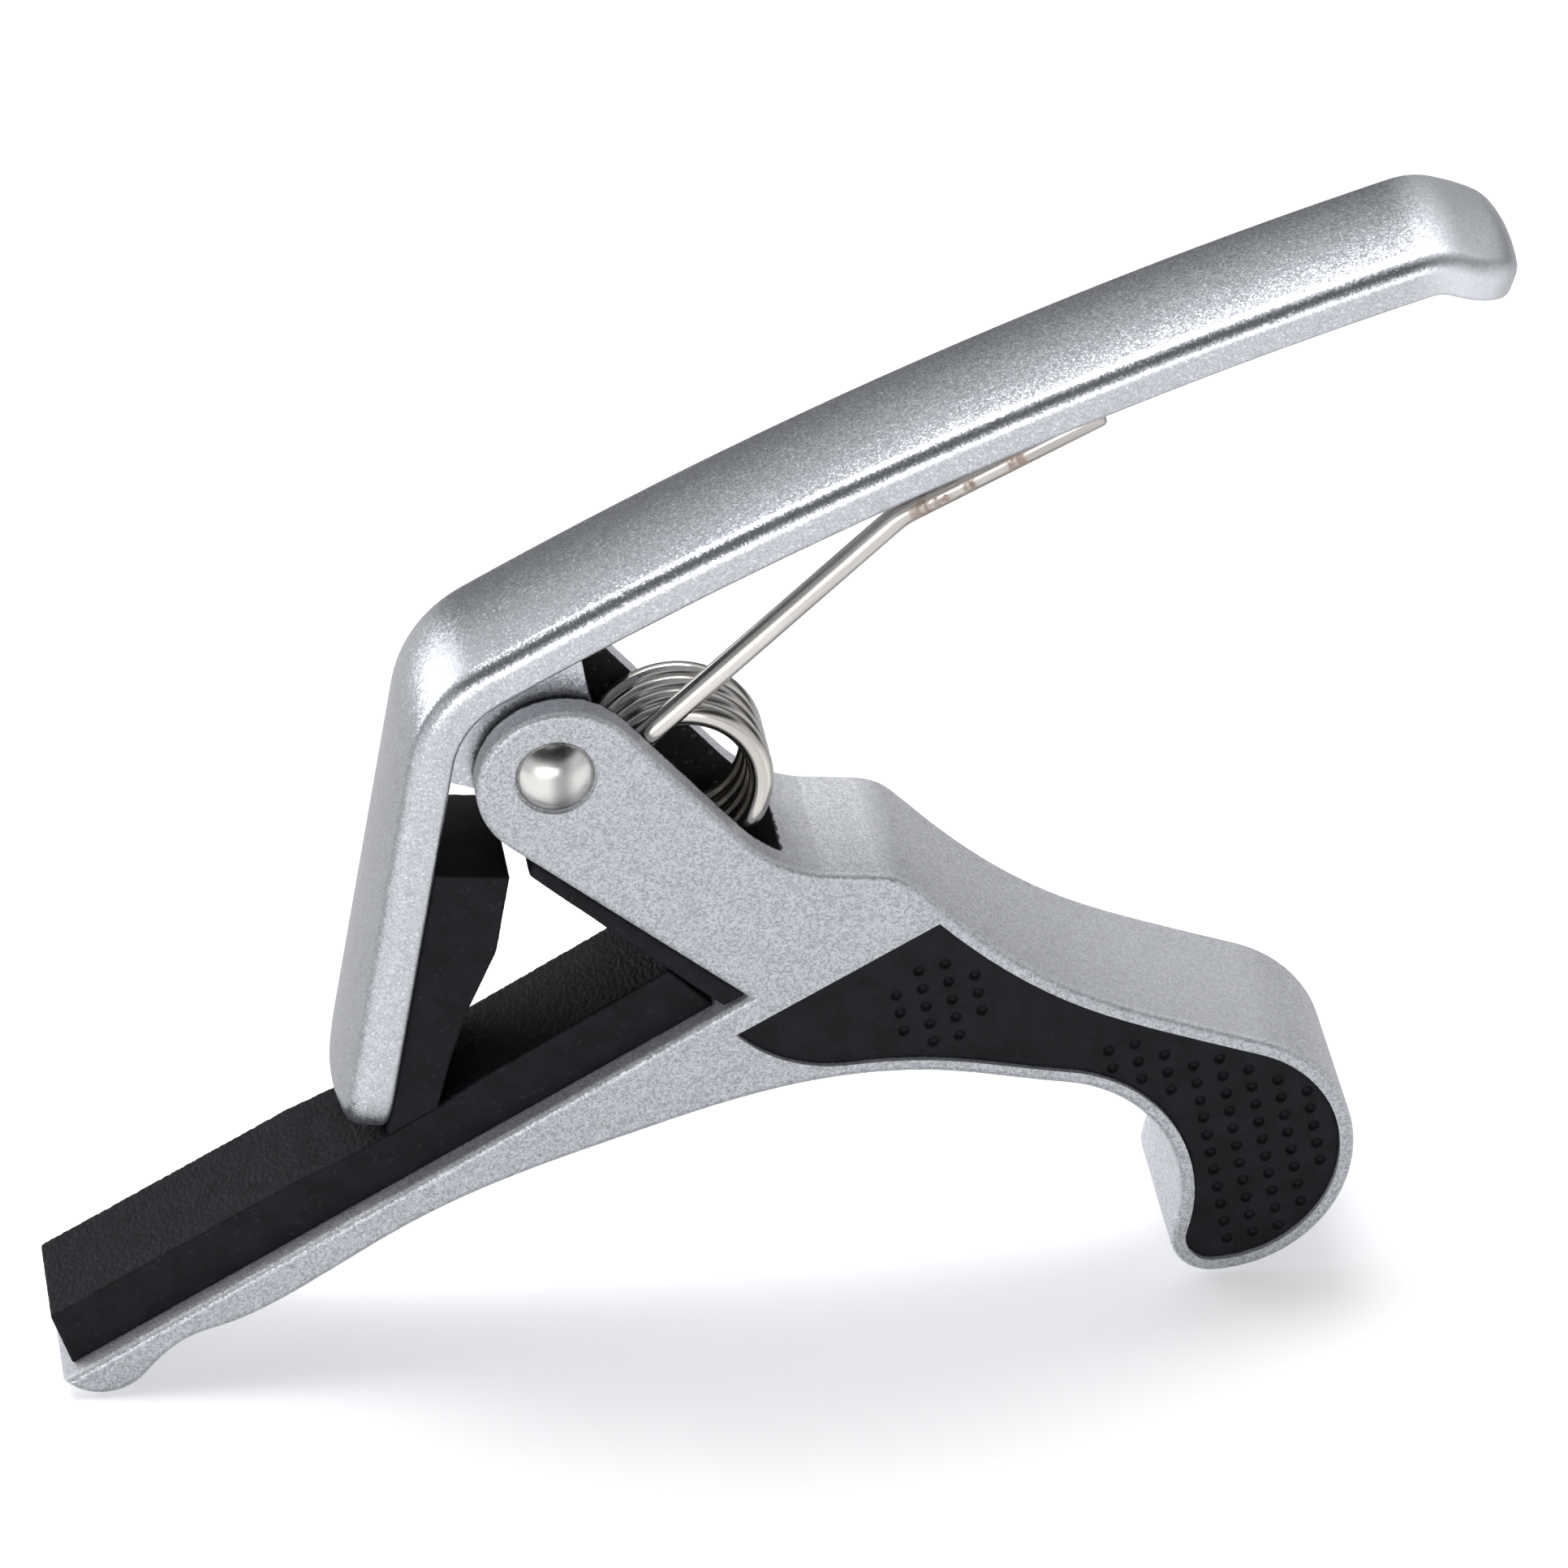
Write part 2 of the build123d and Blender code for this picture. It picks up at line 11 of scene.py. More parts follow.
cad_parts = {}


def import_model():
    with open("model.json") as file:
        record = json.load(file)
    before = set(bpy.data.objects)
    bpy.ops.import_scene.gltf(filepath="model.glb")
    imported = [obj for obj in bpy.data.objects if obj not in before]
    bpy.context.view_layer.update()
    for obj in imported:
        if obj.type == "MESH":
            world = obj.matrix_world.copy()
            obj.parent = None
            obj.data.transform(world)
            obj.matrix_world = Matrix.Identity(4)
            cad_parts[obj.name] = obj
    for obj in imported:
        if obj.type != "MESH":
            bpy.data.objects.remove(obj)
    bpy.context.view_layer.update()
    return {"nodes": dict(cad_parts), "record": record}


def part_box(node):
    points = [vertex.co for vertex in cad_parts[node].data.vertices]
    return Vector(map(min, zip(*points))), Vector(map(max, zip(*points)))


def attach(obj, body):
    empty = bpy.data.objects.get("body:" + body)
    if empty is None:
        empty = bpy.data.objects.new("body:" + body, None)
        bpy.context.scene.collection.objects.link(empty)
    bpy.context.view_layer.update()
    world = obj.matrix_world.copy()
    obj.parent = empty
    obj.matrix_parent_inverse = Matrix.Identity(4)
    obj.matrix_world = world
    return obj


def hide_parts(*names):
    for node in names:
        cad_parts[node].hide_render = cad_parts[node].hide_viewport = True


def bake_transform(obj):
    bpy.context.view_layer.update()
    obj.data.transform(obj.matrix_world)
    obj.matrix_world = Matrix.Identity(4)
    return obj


# The looks of the guitar capo, built around its CAD frame. Everything is in metres in the frame's axes.
# The lengths named _MM are in millimetres, as in the part's own drawing.

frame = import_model()
MM = 0.001
JOINTS = {joint["name"]: joint for joint in frame["record"]["behaviour"]["joints"]}
PIVOT = Vector(JOINTS["lever_hinge"]["pos_m"])
COIL = Vector(JOINTS["spring_leg_hinge"]["pos_m"])

# ---- sizes of the part that the looks need --------------------------------------------------
SLOT_HALF_MM = 5.5              # half of the fork's gap
LUG_MM = (0.5, -1.0)            # middle of the lugs, from the pivot
CORNER_MM = (14.6, -22.7)       # inner corner between the string bar and the fork
LUG_RADIUS_MM = 6.9
SLOT_END_MM = 19.3              # along the fork's arm from the lug
SLOT_FLOOR_MM = -3.3            # across the arm from the lug
BAR_SLOPE = math.radians(27.3)
WIRE_MM = 1.0                   # radius of the spring's wire
COIL_RADIUS_MM = 6.2
TURN_PITCH_MM = 2.085
UPPER_LEG = math.radians(40.2)
UPPER_LEG_MM = 29.0
LEG_END = math.radians(24.1)
LEG_END_MM = 18.0
LEG_BEND_MM = 6.0
LOWER_LEG_MM = 8.3
LEVER_HALF_MM = 7.5             # half of the lever's width
LEVER_EDGE_MM = 3.4             # its thickness beside the rounded edges
LEVER_CROWN_MM = 0.8
LEVER_OUTER_ROUND_MM = 1.7
LEVER_INNER_ROUND_MM = 0.6
JAW_HEADING = math.radians(257.9)
ELBOW_MM = (-0.45, -0.1)
ELBOW_RADIUS_MM = 7.7
JAW_END_MM = -33.6
HANDLE_START = math.radians(26.7)
HANDLE_END_MM = (71.2, 35.0)
TIP_BEND_RADIUS_MM = 2.6
TIP_BEND = math.radians(35)
TIP_LENGTH_MM = 5.8
END_CORNER_MM = 5.0             # rounding of the wide corners at both ends
END_EDGES_MM = (2.7, 0.85)      # rounding of the outer and inner edge at both ends
BOSS_HALF_MM = 4.9              # half of the boss's length
BOSS_RADIUS_MM = 4.2
BOSS_START, BOSS_END = math.radians(248.3), math.radians(371.1)
BOSS_STEPS = 32
BORE_MM = 2.05
BORE_STEPS = 48
WEB_START_MM = 2.6              # where the web leaves the jaw, below the elbow
WEB_FRONT_MM = ((3.3, 5.0), (2.7, 10.4))
WEB_BACK = (math.radians(125), math.radians(150))
CLOSED_FACE_MM = 4.48           # the jaw's end, up from the string bar
DIMPLE_STEP_MM = (Vector((2.15, 0.38)), Vector((0.24, -1.725)))     # between columns, between rows
DIMPLE_RADIUS_MM = 0.5
DIMPLE_DEPTH_MM = 0.32
# each group: its first place, then (first row, number of dimples) of each column
DIMPLE_GROUPS = (
    ((26.3, -22.35), ((1, 3), (0, 5), (0, 5), (1, 3))),
    ((43.75, -31.6), ((0, 2), (0, 3), (1, 3), (2, 11), (2, 11), (3, 10), (4, 8), (5, 5))),
)

lug_to_corner = Vector(CORNER_MM) - Vector(LUG_MM)
ARM_SLOPE = math.atan2(lug_to_corner.y, lug_to_corner.x) + math.asin(LUG_RADIUS_MM / lug_to_corner.length)
COIL_TURNS = 4 + (ARM_SLOPE - UPPER_LEG + math.pi) / (2 * math.pi)


def direction(angle):
    """Unit vector in the side plane."""
    return Vector((math.cos(angle), 0, math.sin(angle)))


BAR_NORMAL = direction(BAR_SLOPE + math.pi / 2)


# ---- material building ----------------------------------------------------------------------
class Nodes:
    """Builds the nodes of one material or world."""

    def __init__(self, tree):
        self.tree = tree

    def feed(self, socket, value):
        if isinstance(value, bpy.types.NodeSocket):
            self.tree.links.new(value, socket)
        elif isinstance(value, tuple) and socket.type == "RGBA" and len(value) == 3:
            socket.default_value = (*value, 1)
        else:
            socket.default_value = value

    def node(self, kind, inputs=(), **settings):
        made = self.tree.nodes.new(kind)
        for name, value in settings.items():
            setattr(made, name, value)
        for place, value in dict(inputs).items():
            self.feed(made.inputs[place], value)
        return made

    def math(self, operation, a, b=0.0):
        return self.node("ShaderNodeMath", {0: a, 1: b}, operation=operation).outputs[0]

    def vector(self, operation, a, b=(0, 0, 0)):
        return self.node("ShaderNodeVectorMath", {0: a, 1: b}, operation=operation).outputs[0]

    def scaled(self, a, factor):
        return self.node("ShaderNodeVectorMath", {0: a, "Scale": factor}, operation="SCALE").outputs[0]

    def dot(self, a, b):
        return self.node("ShaderNodeVectorMath", {0: a, 1: b}, operation="DOT_PRODUCT").outputs["Value"]

    def fade(self, value, low, high, to_low=0.0, to_high=1.0):
        """Goes smoothly from to_low to to_high while value goes from low to high."""
        inputs = {0: value, 1: low, 2: high, 3: to_low, 4: to_high}
        return self.node("ShaderNodeMapRange", inputs, interpolation_type="SMOOTHSTEP").outputs[0]

    def mix(self, factor, a, b):
        inputs = {"Factor": factor, 6: a, 7: b}
        return self.node("ShaderNodeMix", inputs, data_type="RGBA").outputs[2]

    def blend(self, factor, a, b):
        """The same for plain numbers."""
        return self.node("ShaderNodeMix", {0: factor, 2: a, 3: b}, data_type="FLOAT").outputs[0]

    def axis(self, vector, index):
        """One coordinate of a vector."""
        return self.node("ShaderNodeSeparateXYZ", {0: vector}).outputs[index]

    def place(self):
        """Millimetres from the frame's origin, fixed to the piece."""
        return self.scaled(self.node("ShaderNodeTexCoord").outputs["Object"], 1 / MM)

    def noise(self, place, scale, detail=2.0, rough=0.5):
        inputs = {"Vector": place, "Scale": scale, "Detail": detail, "Roughness": rough}
        return self.node("ShaderNodeTexNoise", inputs).outputs[0]

    def cells(self, place, size):
        return self.node("ShaderNodeTexVoronoi", {"Vector": place, "Scale": 1 / size})

    def pick(self, cells, index):
        """One of the three random numbers that each cell has."""
        return self.node("ShaderNodeSeparateColor", {0: cells.outputs["Color"]}).outputs[index]

    def attribute(self, name):
        return self.node("ShaderNodeAttribute", attribute_name=name).outputs["Fac"]

    def bump(self, height, distance, strength):
        inputs = {"Strength": strength, "Distance": distance, "Height": height}
        return self.node("ShaderNodeBump", inputs).outputs[0]

    def tilted(self, cells, amount, normal=None):
        """The surface normal leaned a different way in every flake."""
        base = normal or self.node("ShaderNodeNewGeometry").outputs["Normal"]
        lean = self.vector("SUBTRACT", cells.outputs["Color"], (0.5, 0.5, 0.5))
        return self.vector("NORMALIZE", self.vector("ADD", base, self.scaled(lean, amount)))


class Look(Nodes):
    """A material built around one principled shader."""

    def __init__(self, name):
        self.material = bpy.data.materials.new(name)
        self.material.use_nodes = True
        super().__init__(self.material.node_tree)
        self.tree.nodes.clear()
        self.shader = self.tree.nodes.new("ShaderNodeBsdfPrincipled")
        output = self.tree.nodes.new("ShaderNodeOutputMaterial")
        self.tree.links.new(self.shader.outputs[0], output.inputs[0])

    def finish(self, **inputs):
        for name, value in inputs.items():
            self.feed(self.shader.inputs[name.replace("_", " ").title().replace("Ior", "IOR")], value)
        return self.material


# ---- materials ------------------------------------------------------------------------------
# Colours are linear red, green and blue. A pair goes from dark to light.
FRAME_SIDE_COLOUR = (0.415, 0.428, 0.452)
FRAME_RIM_COLOUR = (0.62, 0.63, 0.66)
FORK_COLOUR = (0.011, 0.011, 0.012)
FORK_FLAKE_COLOUR = (0.22, 0.22, 0.23)
LEVER_COLOUR = (0.47, 0.485, 0.51)
LEVER_SPARKLE_COLOUR = (0.8, 0.81, 0.84)
LEVER_TIP_COLOUR = (0.72, 0.735, 0.765)
RIVET_COLOUR = (0.66, 0.645, 0.62)
# painted reflection: the dark band down the rivet's dome
RIVET_PAINTED_REFLECTION_COLOUR = (0.2, 0.2, 0.2)
WIRE_COLOURS = ((0.5, 0.475, 0.44), (0.72, 0.70, 0.67))
# painted shade on the wire where it lies under the lever
WIRE_PAINTED_SHADE_COLOUR = (0.36, 0.33, 0.3)
RUST_COLOUR = (0.16, 0.075, 0.035)
PAD_COLOUR = (0.0078, 0.0082, 0.0102)
INLAY_COLOUR = (0.0085, 0.0088, 0.0108)
DUST_COLOUR = (0.16, 0.16, 0.17)
NYLON_COLOURS = ((0.62, 0.61, 0.56), (0.74, 0.73, 0.69))
FLOOR_COLOURS = ((0.93, 0.93, 0.935), (0.95, 0.95, 0.955))
FLOOR_MIRRORED_COLOUR = (0.1, 0.1, 0.105)


def shade(tint, factor):
    """A colour made lighter or darker, no brighter than white."""
    return tuple(min(1.0, c * factor) for c in tint)


def flake_paint(look, place, size, lean, tint, spread):
    """Colour and normal of metallic paint.

    Its flakes have a size (mm), lean at random and differ in brightness by a spread.
    """
    coarse = look.cells(place, size)
    fine = look.cells(place, size * 0.45)
    coarse_share = look.math("MULTIPLY", look.pick(coarse, 0), 0.6)
    fine_share = look.math("MULTIPLY", look.pick(fine, 1), 0.4)
    both = look.math("ADD", coarse_share, fine_share)
    cloud = look.noise(place, scale=0.35, detail=3.0)
    colour = look.mix(look.fade(both, 0.1, 0.9), shade(tint, 1 - spread), shade(tint, 1 + spread))
    colour = look.mix(look.fade(cloud, 0.3, 0.7, to_high=0.12), colour, shade(tint, 0.8))
    normal = look.tilted(fine, lean * 0.6, look.tilted(coarse, lean))
    return colour, normal


def inside_fork(look, place):
    """1 in the fork's gap and on its walls and 0 outside it, with a ragged edge."""
    lug = PIVOT / MM + Vector((LUG_MM[0], 0, LUG_MM[1]))
    from_lug = look.vector("SUBTRACT", place, tuple(lug))
    depth = look.math("ABSOLUTE", look.dot(from_lug, (0, 1, 0)))
    along = look.dot(from_lug, tuple(direction(ARM_SLOPE)))
    up = look.dot(from_lug, tuple(direction(ARM_SLOPE + math.pi / 2)))
    rough_edge = look.noise(place, scale=1.6, detail=6.0, rough=0.7)
    ragged = look.math("MULTIPLY", look.math("SUBTRACT", rough_edge, 0.5), 0.9)
    depth = look.math("ADD", depth, ragged)
    along = look.math("ADD", along, ragged)
    wall = look.fade(depth, SLOT_HALF_MM + 0.1, SLOT_HALF_MM + 0.22, to_low=1.0, to_high=0.0)
    end = look.fade(along, SLOT_END_MM + 0.1, SLOT_END_MM + 0.25, to_low=1.0, to_high=0.0)
    bottom = look.fade(up, SLOT_FLOOR_MM - 0.2, SLOT_FLOOR_MM - 0.1)
    return look.math("MULTIPLY", look.math("MULTIPLY", wall, end), bottom)


def frame_look():
    """Coarse silver flake on the sides, matte speckle on the outside, black inside the fork."""
    look = Look("frame_silver")
    place = look.place()
    side_colour, side_normal = flake_paint(
        look, place, size=0.17, lean=0.36, tint=FRAME_SIDE_COLOUR, spread=0.34
    )
    rim_colour, rim_normal = flake_paint(
        look, place, size=0.15, lean=0.42, tint=FRAME_RIM_COLOUR, spread=0.26
    )
    true_normal = look.node("ShaderNodeNewGeometry").outputs["Normal"]
    across = look.math("ABSOLUTE", look.dot(true_normal, (0, 1, 0)))
    on_side = look.fade(across, 0.5, 0.9)
    colour = look.mix(on_side, rim_colour, side_colour)
    normal = look.mix(on_side, rim_normal, side_normal)
    inside = inside_fork(look, place)
    stray_flake = look.fade(look.pick(look.cells(place, size=0.34), 0), 0.96, 0.99, to_high=0.35)
    black = look.mix(stray_flake, FORK_COLOUR, FORK_FLAKE_COLOUR)
    colour = look.mix(inside, colour, black)
    metallic = look.blend(inside, look.blend(on_side, 0.5, 0.72), 0.0)
    roughness = look.blend(inside, look.blend(on_side, 0.5, 0.42), 0.55)
    waviness = look.noise(place, scale=1.4, detail=3.0)
    orange_peel = look.bump(waviness, distance=0.05 * MM, strength=0.25)
    normal = look.vector("ADD", look.scaled(normal, 0.7), look.scaled(orange_peel, 0.3))
    normal = look.vector("NORMALIZE", normal)
    return look.finish(base_color=colour, metallic=metallic, roughness=roughness, normal=normal)


def lever_look():
    """Finer, brighter silver flake, matte and paler on the turned-down tip."""
    look = Look("lever_silver")
    place = look.place()
    colour, normal = flake_paint(look, place, size=0.14, lean=0.13, tint=LEVER_COLOUR, spread=0.22)
    sparkle = look.fade(look.pick(look.cells(place, size=0.2), 2), 0.9, 0.98, to_high=0.45)
    colour = look.mix(sparkle, colour, LEVER_SPARKLE_COLOUR)
    tip_x = (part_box("lever")[1].x - 8 * MM) / MM
    tip = look.fade(look.axis(place, 0), tip_x - 2, tip_x + 3)
    colour = look.mix(look.math("MULTIPLY", tip, 0.6), colour, LEVER_TIP_COLOUR)
    roughness = look.blend(tip, 0.27, 0.48)
    return look.finish(
        base_color=colour, metallic=0.9, roughness=roughness, normal=normal,
        coat_weight=0.25, coat_roughness=0.18,
    )


def rivet_look():
    """Spun nickel dome with a painted dark reflection down its middle and faint smudges."""
    look = Look("rivet_nickel")
    place = look.place()
    smudge = look.noise(place, scale=0.9, detail=5.0, rough=0.65)
    colour = look.mix(look.fade(smudge, 0.45, 0.75, to_high=0.25), RIVET_COLOUR, shade(RIVET_COLOUR, 0.75))
    rough = look.fade(smudge, 0.3, 0.8, to_low=0.2, to_high=0.34)
    # painted reflection: a dark band down the dome, just right of its middle, stands in for a dark reflection
    x = look.axis(look.vector("SUBTRACT", place, tuple(PIVOT / MM)), 0)
    painted_reflection = look.math("MULTIPLY", look.fade(x, -0.9, 0.25), look.fade(x, 0.5, 1.7, to_low=1.0, to_high=0.0))
    colour = look.mix(look.math("MULTIPLY", painted_reflection, 0.75), colour, RIVET_PAINTED_REFLECTION_COLOUR)
    return look.finish(base_color=colour, metallic=1.0, roughness=rough, anisotropic=0.5)


def wire_look():
    """Drawn nickel-plated wire, stained with rust and darkened by painted shade where it lies under the
    lever.

    Its attributes say how far (mm) a place is along the wire, and where it is round the wire.
    """
    look = Look("spring_nickel")
    along = look.attribute("along")
    around = look.attribute("around")
    drawn = look.node("ShaderNodeCombineXYZ", {0: look.math("MULTIPLY", along, 0.02), 1: around}).outputs[0]
    lines = look.noise(drawn, scale=3.0, detail=4.0, rough=0.6)
    stretched = {0: look.math("MULTIPLY", along, 0.3), 1: look.math("MULTIPLY", around, 0.6)}
    stains = look.node("ShaderNodeCombineXYZ", stretched).outputs[0]
    patches = look.noise(stains, scale=1.1, detail=5.0, rough=0.7)
    before_bend = look.fade(along, 15, 19, to_low=1.0, to_high=0.0)
    near_bend = look.math("MULTIPLY", look.fade(along, 5, 9), before_bend)
    rust = look.math("MULTIPLY", look.fade(patches, 0.47, 0.62, to_high=0.85), near_bend)
    nickel = look.mix(look.fade(lines, 0.35, 0.7), *WIRE_COLOURS)
    # painted shade: the upper leg is darkened near its tip, where it lies in the lever's shade
    shaded = look.math("MULTIPLY", look.fade(along, 16, 20, to_low=1.0, to_high=0.0), 0.55)
    nickel = look.mix(shaded, nickel, WIRE_PAINTED_SHADE_COLOUR)
    colour = look.mix(rust, nickel, RUST_COLOUR)
    metallic = look.blend(rust, 1.0, 0.1)
    roughness = look.blend(rust, look.fade(lines, 0.3, 0.8, to_low=0.13, to_high=0.24), 0.75)
    normal = look.bump(lines, distance=0.012 * MM, strength=0.35)
    return look.finish(base_color=colour, metallic=metallic, roughness=roughness, normal=normal)


def rubber_look(name, tint, grain, dust):
    """Black rubber: mottled, with a fine grain (mm) and a little pale dust."""
    look = Look(name)
    place = look.place()
    mottle = look.noise(place, scale=0.5, detail=5.0, rough=0.6)
    fine = look.noise(place, scale=1 / grain, detail=3.0, rough=0.6)
    colour = look.mix(look.fade(mottle, 0.3, 0.7), shade(tint, 0.75), shade(tint, 1.3))
    specks = look.fade(look.pick(look.cells(place, size=0.3), 0), 0.965, 0.99, to_high=dust)
    colour = look.mix(specks, colour, DUST_COLOUR)
    rough = look.fade(fine, 0.3, 0.7, to_low=0.43, to_high=0.57)
    normal = look.bump(fine, distance=0.06 * MM, strength=0.6)
    return look.finish(
        base_color=colour, metallic=0.0, roughness=rough, normal=normal, specular_ior_level=0.1,
    )


def nylon_look():
    """Natural nylon, slightly cloudy."""
    look = Look("washer_nylon")
    place = look.place()
    colour = look.mix(look.noise(place, scale=1.5, detail=4.0), *NYLON_COLOURS)
    normal = look.bump(look.noise(place, scale=8.0), distance=0.01 * MM, strength=0.4)
    return look.finish(base_color=colour, roughness=0.45, subsurface_weight=0.1, normal=normal)


def floor_look():
    """A pale floor, darkened behind the part in reflections only."""
    look = Look("studio_floor")
    place = look.place()
    colour = look.mix(look.fade(look.noise(place, scale=0.02), 0.2, 0.8), *FLOOR_COLOURS)
    mirrored = look.node("ShaderNodeLightPath").outputs["Is Glossy Ray"]
    dimmed = look.math("MULTIPLY", mirrored, look.fade(look.axis(place, 1), -40, 30, to_high=0.62))
    colour = look.mix(dimmed, colour, FLOOR_MIRRORED_COLOUR)
    return look.finish(base_color=colour, roughness=0.75, emission_color=colour, emission_strength=0.32)


# ---- mesh building --------------------------------------------------------------------------
WELD_DISTANCE = 1e-7
FLAT_ANGLE = math.radians(0.5)      # faces that differ less are one flat face
SHARP_ANGLE = math.radians(14)      # edges that turn more are softened
SOFT_EDGE_STEPS = 3
PEBBLES_PER_MM = 3.0
PEBBLE_TOP_MM = 0.03                # height of a pebble's middle
PEBBLE_DROP_MM = 0.13               # drop from there to one pebble's size away
PEBBLE_FADE = (0.3, 0.8)            # how far the normal points up where the pebbles begin and are full
PAD_WAVE = (0.02, 0.22)             # height (mm) and waves per mm on the string pad
FACE_WAVES = ((0.025, 0.35), (0.008, 2.3))      # the same on the other rubber faces
INLAY_WAVE_SHARE = 0.6
INLAY_OUTWARD = 0.3                 # how far the normal points outward, at least, on an inlay's outer side
DIMPLE_LIP_MM = 0.05                # height of the lip round a dimple
DIMPLE_LIP_PLACE = 1.15             # its distance from the middle, in dimple radii
DIMPLE_LIP_WIDTH = 0.35             # half of its width, in dimple radii


def new_piece(name, material, vertices, faces):
    """A smooth-shaded object with one material."""
    mesh = bpy.data.meshes.new(name)
    mesh.from_pydata([tuple(v) for v in vertices], [], faces)
    mesh.validate()
    mesh.materials.append(material)
    mesh.polygons.foreach_set("use_smooth", [True] * len(mesh.polygons))
    piece = bpy.data.objects.new(name, mesh)
    bpy.context.scene.collection.objects.link(piece)
    return piece


def welded_copy(node):
    """The CAD node's solid as a closed mesh."""
    solid = bmesh.new()
    solid.from_mesh(frame["nodes"][node].data)
    bmesh.ops.remove_doubles(solid, verts=solid.verts, dist=WELD_DISTANCE)
    bmesh.ops.dissolve_limit(
        solid, angle_limit=FLAT_ANGLE, verts=solid.verts, edges=solid.edges, delimit={"NORMAL"}
    )
    return solid


def recut(name, node, material, cell_mm, round_mm, grain):
    """A CAD solid cut up finely into its own mesh, with softened edges and a grained skin.

    grain(place, normal) says how far (mm) the skin is pushed out at a place.
    """
    solid = welded_copy(node)
    sharp = [edge for edge in solid.edges if edge.is_manifold and edge.calc_face_angle() > SHARP_ANGLE]
    bmesh.ops.bevel(
        solid, geom=sharp, offset=round_mm * MM, segments=SOFT_EDGE_STEPS, profile=0.5,
        affect="EDGES", clamp_overlap=True,
    )
    mesh = bpy.data.meshes.new(name)
    solid.to_mesh(mesh)
    solid.free()
    piece = bpy.data.objects.new(name, mesh)
    bpy.context.scene.collection.objects.link(piece)
    remesh = piece.modifiers.new("cells", "REMESH")
    remesh.mode = "VOXEL"
    remesh.voxel_size = cell_mm * MM
    bpy.context.view_layer.update()
    fine = bpy.data.meshes.new_from_object(piece.evaluated_get(bpy.context.evaluated_depsgraph_get()))
    piece.modifiers.clear()
    piece.data = fine
    count = len(fine.vertices)
    places = np.empty(count * 3)
    fine.vertices.foreach_get("co", places)
    normals = np.empty(count * 3)
    fine.vertices.foreach_get("normal", normals)
    places, normals = places.reshape(-1, 3), normals.reshape(-1, 3)
    push = np.array([grain(Vector(place / MM), Vector(normal)) for place, normal in zip(places, normals)])
    places += normals * push[:, None] * MM
    fine.vertices.foreach_set("co", places.ravel())
    fine.materials.clear()
    fine.materials.append(material)
    fine.polygons.foreach_set("use_smooth", [True] * len(fine.polygons))
    fine.update()
    return piece


def pebbles(place, normal):
    """Pebbled grain on the string pad's top, fading out on its sides."""
    begin, full = PEBBLE_FADE
    top = min(1.0, max(0.0, (normal.dot(BAR_NORMAL) - begin) / (full - begin)))
    from_middle = noise.voronoi(place * PEBBLES_PER_MM)[0][0]
    height, per_mm = PAD_WAVE
    return (PEBBLE_TOP_MM - PEBBLE_DROP_MM * from_middle) * top + height * noise.noise(place * per_mm)


def faint_waves(place, normal):
    """The slight unevenness of a moulded rubber face."""
    return sum(height * noise.noise(place * per_mm) for height, per_mm in FACE_WAVES)


def dimples(side):
    """An inlay's outer side: uneven, with its dimples pressed deeper and a slight lip round each."""
    finder = KDTree(sum(count for _, columns in DIMPLE_GROUPS for _, count in columns))
    pivot = PIVOT / MM
    for corner, columns in DIMPLE_GROUPS:
        for column, (first, count) in enumerate(columns):
            for row in range(first, first + count):
                at = Vector(corner) + DIMPLE_STEP_MM[0] * column + DIMPLE_STEP_MM[1] * row
                finder.insert((pivot.x + at.x, 0, pivot.z + at.y), 0)
    finder.balance()

    def grain(place, normal):
        if normal.y * side < INLAY_OUTWARD:
            return 0.0
        near = finder.find((place.x, 0, place.z))[2] / DIMPLE_RADIUS_MM
        pit = -DIMPLE_DEPTH_MM * 0.5 * max(0.0, 1 - near * near)
        lip = DIMPLE_LIP_MM * max(0.0, 1 - abs(near - DIMPLE_LIP_PLACE) / DIMPLE_LIP_WIDTH)
        return faint_waves(place, normal) * INLAY_WAVE_SHARE + pit + lip

    return grain


# ---- lever ----------------------------------------------------------------------------------
ROUND_STEPS = 14                                # on the outer rounding, half of the crown and the ends
SMALL_STEPS = 5                                 # on the inner rounding and half of the inner side
LEVER_STEPS_MM = (0.8, 0.4, 1.2, 0.12, 0.4)     # between sections: jaw, elbow, handle, bend and tip


def flat(angle):
    """Unit vector of a side view."""
    return Vector((math.cos(angle), math.sin(angle)))


def arc(centre, radius, start, sweep):
    """A stretch of path: its length, and its place and heading at a distance along it."""
    side = math.copysign(math.pi / 2, sweep)

    def at(distance):
        angle = start + math.copysign(distance / radius, sweep)
        return centre + flat(angle) * radius, angle + side

    return radius * abs(sweep), at


def line(start, angle, length):
    """A straight stretch of path."""
    return length, lambda distance: (start + flat(angle) * distance, angle)


